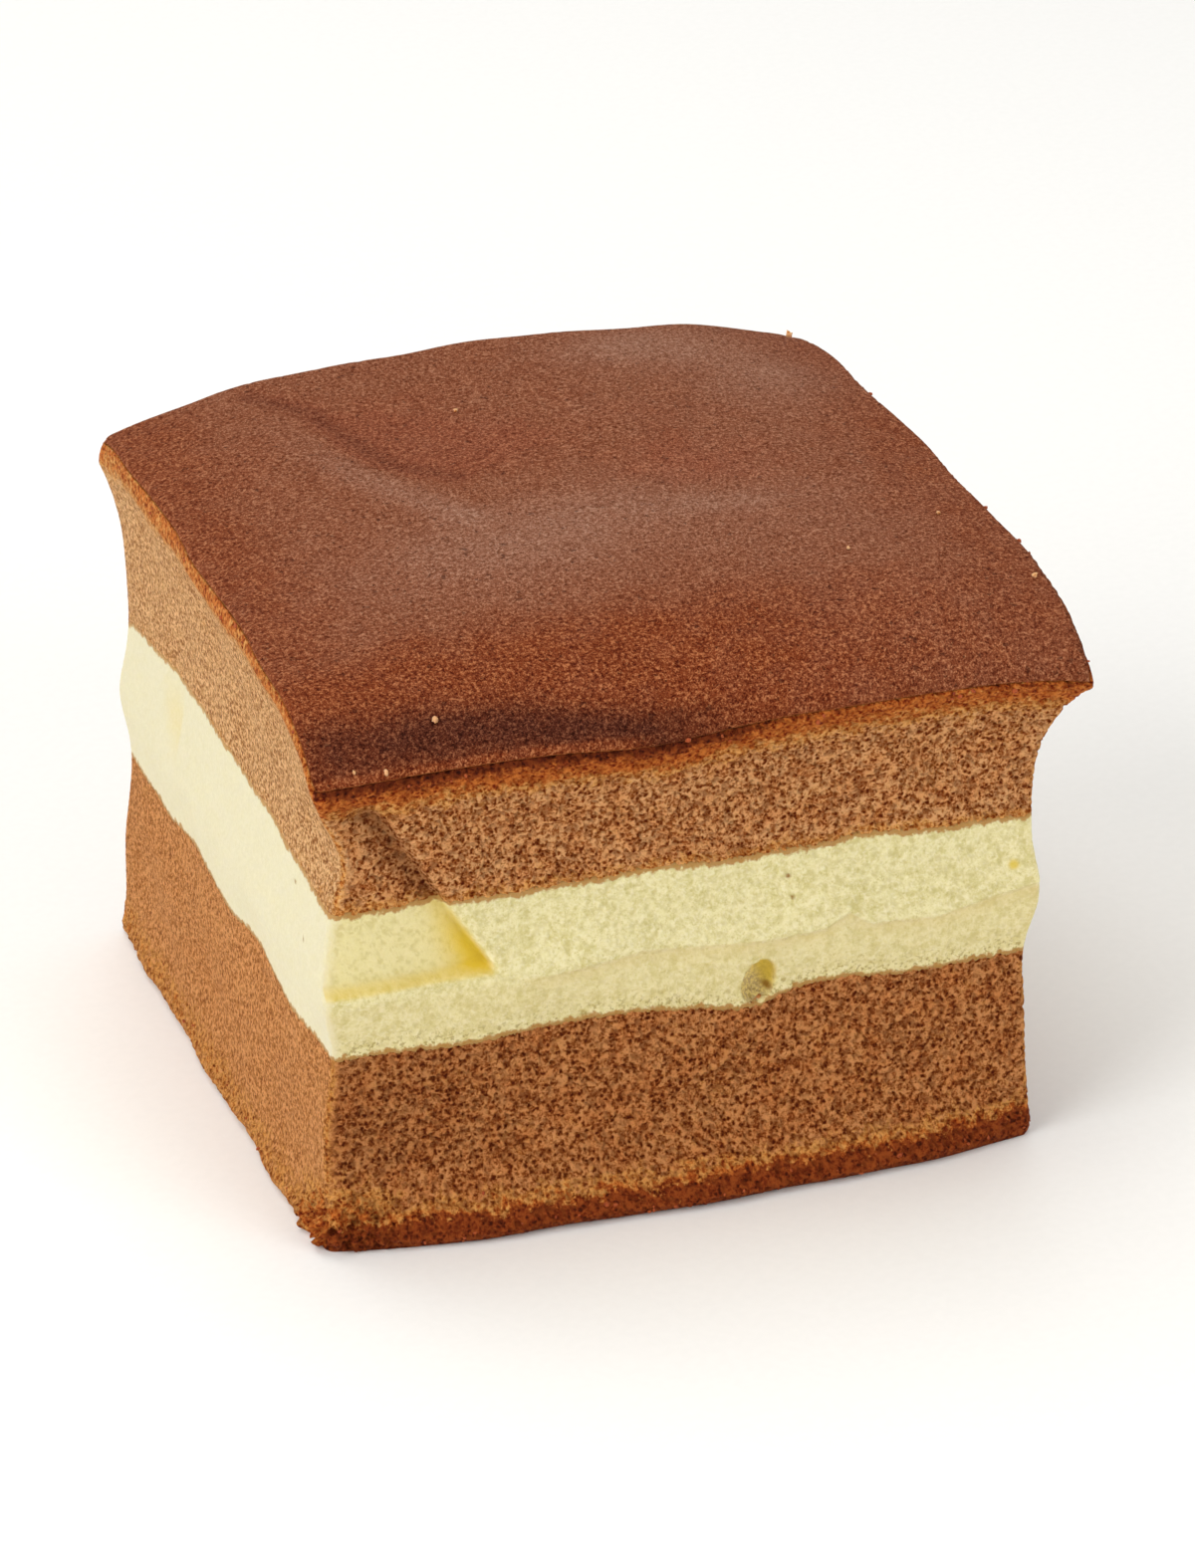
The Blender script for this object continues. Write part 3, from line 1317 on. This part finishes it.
PHOTO = Values(width=1200, height=1575, focal=7052)  # pixels
SENSOR = 36
VIEW = Values(azimuth=-19, elevation=26.4, distance=0.743, target=(0.0031, -0.0011, 0.0293))
FLOOR_HALF = 1.5
LAMPS = (
    Lamp("window_left", (-0.75, -0.25, 0.5), 0.7, 6),
    Lamp("front_fill", (0.45, -0.8, 0.45), 0.6, 3.2),
    Lamp("top_soft", (-0.05, 0.35, 0.85), 0.8, 4),
)


def outward(azimuth, elevation):
    """The direction from the cake to a viewer. Azimuth 0 is the front, and 90 the right."""
    a, e = math.radians(azimuth), math.radians(elevation)
    return Vector((math.sin(a) * math.cos(e), -math.cos(a) * math.cos(e), math.sin(e)))


def stand(item, spot, target):
    """Puts a lamp or a camera on a spot, facing a target."""
    item.location = spot
    item.rotation_mode = "QUATERNION"
    item.rotation_quaternion = (target - item.location).to_track_quat("-Z", "Y")


class CAKE_OT_studio(bpy.types.Operator):
    """Build the pale floor, the soft lights and the camera"""

    bl_idname = "cake.studio"
    bl_label = "Studio"

    def execute(self, context):
        scene = context.scene
        bm = bmesh.new()
        bmesh.ops.create_grid(bm, x_segments=2, y_segments=2, size=FLOOR_HALF)
        floor = mesh_object("floor", bm, floor_material(scene.cake_colours))

        for lamp in LAMPS:
            light = bpy.data.lights.new(lamp.name, "AREA")
            light.shape = "RECTANGLE"
            light.size = light.size_y = lamp.size
            light.energy = lamp.power
            stand(add_object(lamp.name, light), lamp.place, Vector((0, 0, 0.03)))

        scene.world = bpy.data.worlds.new("studio")
        scene.world.use_nodes = True
        background = scene.world.node_tree.nodes["Background"]
        background.inputs["Color"].default_value = (1, 0.99, 0.97, 1)
        background.inputs["Strength"].default_value = 0.45

        target = Vector(VIEW.target) + FORM_SHIFT * MM
        camera = bpy.data.cameras.new("camera")
        camera.sensor_width = SENSOR
        camera.lens = PHOTO.focal / max(PHOTO.width, PHOTO.height) * SENSOR
        camera.clip_start = 0.01
        scene.camera = add_object("camera", camera)
        stand(scene.camera, target + outward(VIEW.azimuth, VIEW.elevation) * VIEW.distance, target)
        scene.view_settings.view_transform = "Standard"
        return {"FINISHED"}


class CAKE_PT_panel(bpy.types.Panel):
    """The cake's pieces, sizes and colours"""

    bl_idname = "CAKE_PT_panel"
    bl_label = "Layered Chiffon Cake"
    bl_space_type = "VIEW_3D"
    bl_region_type = "UI"
    bl_category = "Cake"

    def draw(self, context):
        for operator in OPERATORS:
            self.layout.operator(operator.bl_idname)
        for group in (context.scene.cake_sizes, context.scene.cake_colours):
            for name in group.__annotations__:
                self.layout.prop(group, name)


OPERATORS = (
    CAKE_OT_base_sponge,
    CAKE_OT_middle_sponge,
    CAKE_OT_top_sponge,
    CAKE_OT_browned_skin,
    CAKE_OT_loose_crumbs,
    CAKE_OT_studio,
)
CLASSES = (CakeSizes, CakeColours, *OPERATORS, CAKE_PT_panel)


def register():
    for item in CLASSES:
        bpy.utils.register_class(item)
    bpy.types.Scene.cake_sizes = PointerProperty(type=CakeSizes)
    bpy.types.Scene.cake_colours = PointerProperty(type=CakeColours)


def unregister():
    del bpy.types.Scene.cake_colours
    del bpy.types.Scene.cake_sizes
    for item in reversed(CLASSES):
        bpy.utils.unregister_class(item)


def main():
    register()
    bpy.ops.cake.base_sponge()
    bpy.ops.cake.middle_sponge()
    bpy.ops.cake.top_sponge()
    bpy.ops.cake.browned_skin()
    bpy.ops.cake.loose_crumbs()
    bpy.ops.cake.studio()


if __name__ == "__main__":
    main()
